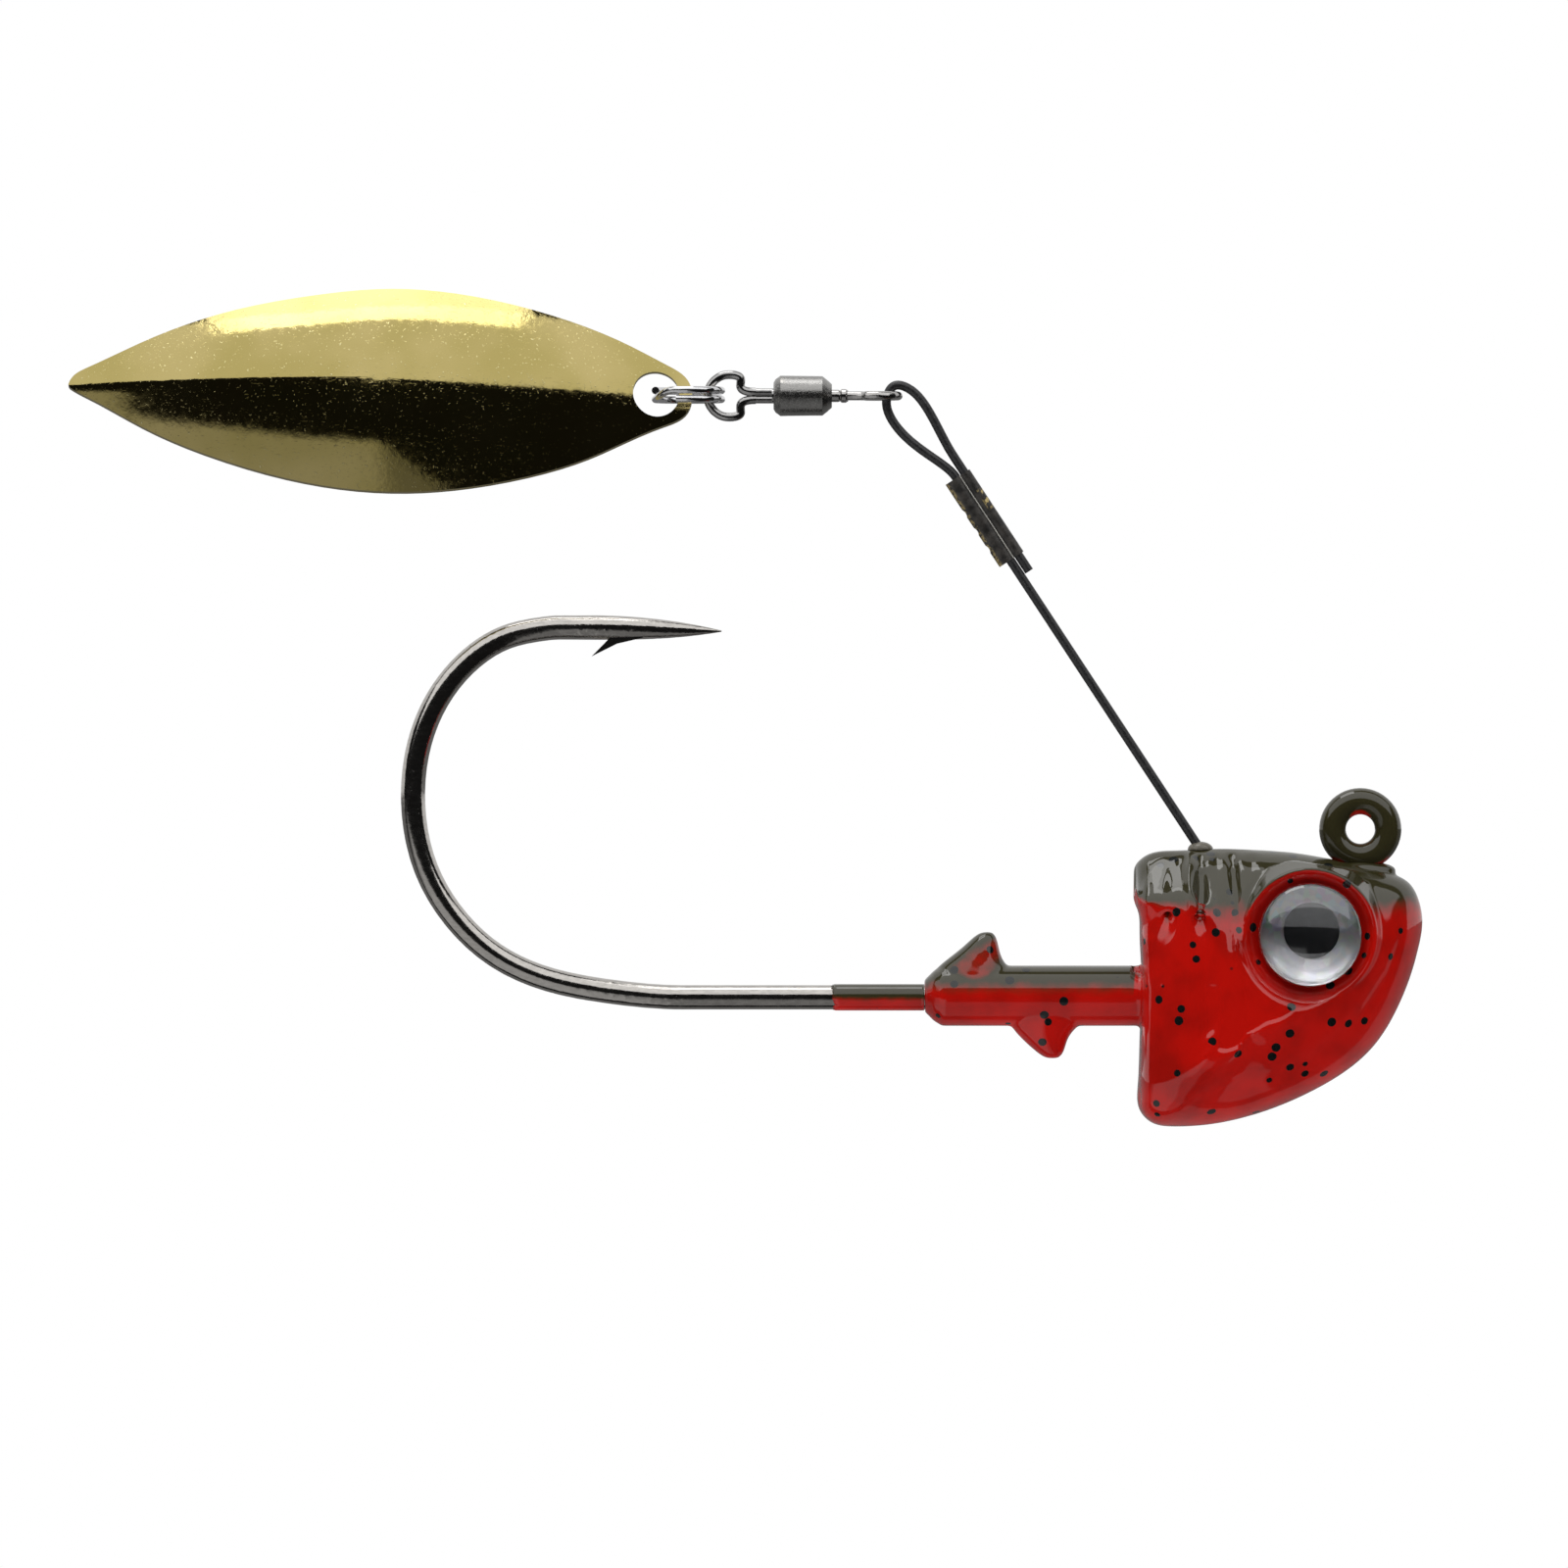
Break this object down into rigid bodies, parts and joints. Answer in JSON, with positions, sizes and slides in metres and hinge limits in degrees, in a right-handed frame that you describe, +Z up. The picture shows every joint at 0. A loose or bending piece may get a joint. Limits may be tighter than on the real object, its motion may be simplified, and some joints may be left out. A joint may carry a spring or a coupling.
{
  "type": "spinnerbait",
  "caption": "Fishing spinnerbait: moulded head on an upturned jig hook, stiff wire arm with a crimped loop, ball swivel, split ring and willow-leaf blade.",
  "frame": {"origin": "middle of the line-tie ring's hole", "axes": "+X forward to the nose, +Y to the lure's left side along the line-tie hole, +Z up; the hook shank, wire arm and blade lie in the X-Z plane"},
  "size_m": [0.0829, 0.0112, 0.0513],
  "materials": {
    "black_nickel": "black nickel plated steel wire",
    "lure_paint": "deep gloss red over lead, olive brown shaded from above, black flakes",
    "tie_paint": "gloss olive brown film",
    "shank_paint": "gloss red and olive film",
    "steel_strand": "fine twisted steel",
    "wire_jacket": "satin black coating",
    "paint_bead": "lumpy gloss paint",
    "sleeve_black": "blackened brass worn at the edges",
    "swivel_wire": "dark nickel wire",
    "barrel_nickel": "dark nickel, fine grain",
    "ring_nickel": "bright nickel spring wire",
    "gold_plate": "polished gold plate with fine hammer marks",
    "eye_backing": "black backing pad",
    "eye_foil": "bright silver foil",
    "eye_pupil": "printed black",
    "eye_resin": "clear domed resin"
  },
  "bodies": {
    "head": {"hook": "black_nickel", "head_casting": "lure_paint", "line_tie_coat": "tie_paint", "shank_coat": "shank_paint", "arm_wire_core": "steel_strand", "arm_wire_jacket": "wire_jacket", "arm_root_bead": "paint_bead", "crimp_sleeve": "sleeve_black", "eye_pad_left": "eye_backing", "eye_foil_left": "eye_foil", "eye_pupil_left": "eye_pupil", "eye_dome_left": "eye_resin", "eye_pad_right": "eye_backing", "eye_foil_right": "eye_foil", "eye_pupil_right": "eye_pupil", "eye_dome_right": "eye_resin"},
    "front_eye": {"swivel_front_eye": "swivel_wire"},
    "barrel": {"swivel_barrel": "barrel_nickel"},
    "rear_eye": {"swivel_rear_eye": "swivel_wire"},
    "ring": {"split_ring": "ring_nickel"},
    "blade": {"blade": "gold_plate"}
  },
  "joints": [
    {"name": "swivel_swing", "type": "hinge", "parent": "head", "child": "front_eye", "pos_m": [-0.029, 0, 0.02652], "axis": [0, 0, 1], "range_deg": [-65, 65]},
    {"name": "barrel_spin", "type": "hinge", "parent": "front_eye", "child": "barrel", "pos_m": [-0.034, 0, 0.02652], "axis": [1, 0, 0], "continuous": true},
    {"name": "rear_eye_spin", "type": "hinge", "parent": "barrel", "child": "rear_eye", "pos_m": [-0.036, 0, 0.02652], "axis": [1, 0, 0], "continuous": true},
    {"name": "ring_swing", "type": "hinge", "parent": "rear_eye", "child": "ring", "pos_m": [-0.03995, 0, 0.02652], "axis": [0, 0, 1], "range_deg": [-75, 75]},
    {"name": "blade_swing", "type": "hinge", "parent": "ring", "child": "blade", "pos_m": [-0.0431, 0, 0.02658], "axis": [0, 1, 0], "range_deg": [-38, 50]}
  ]
}
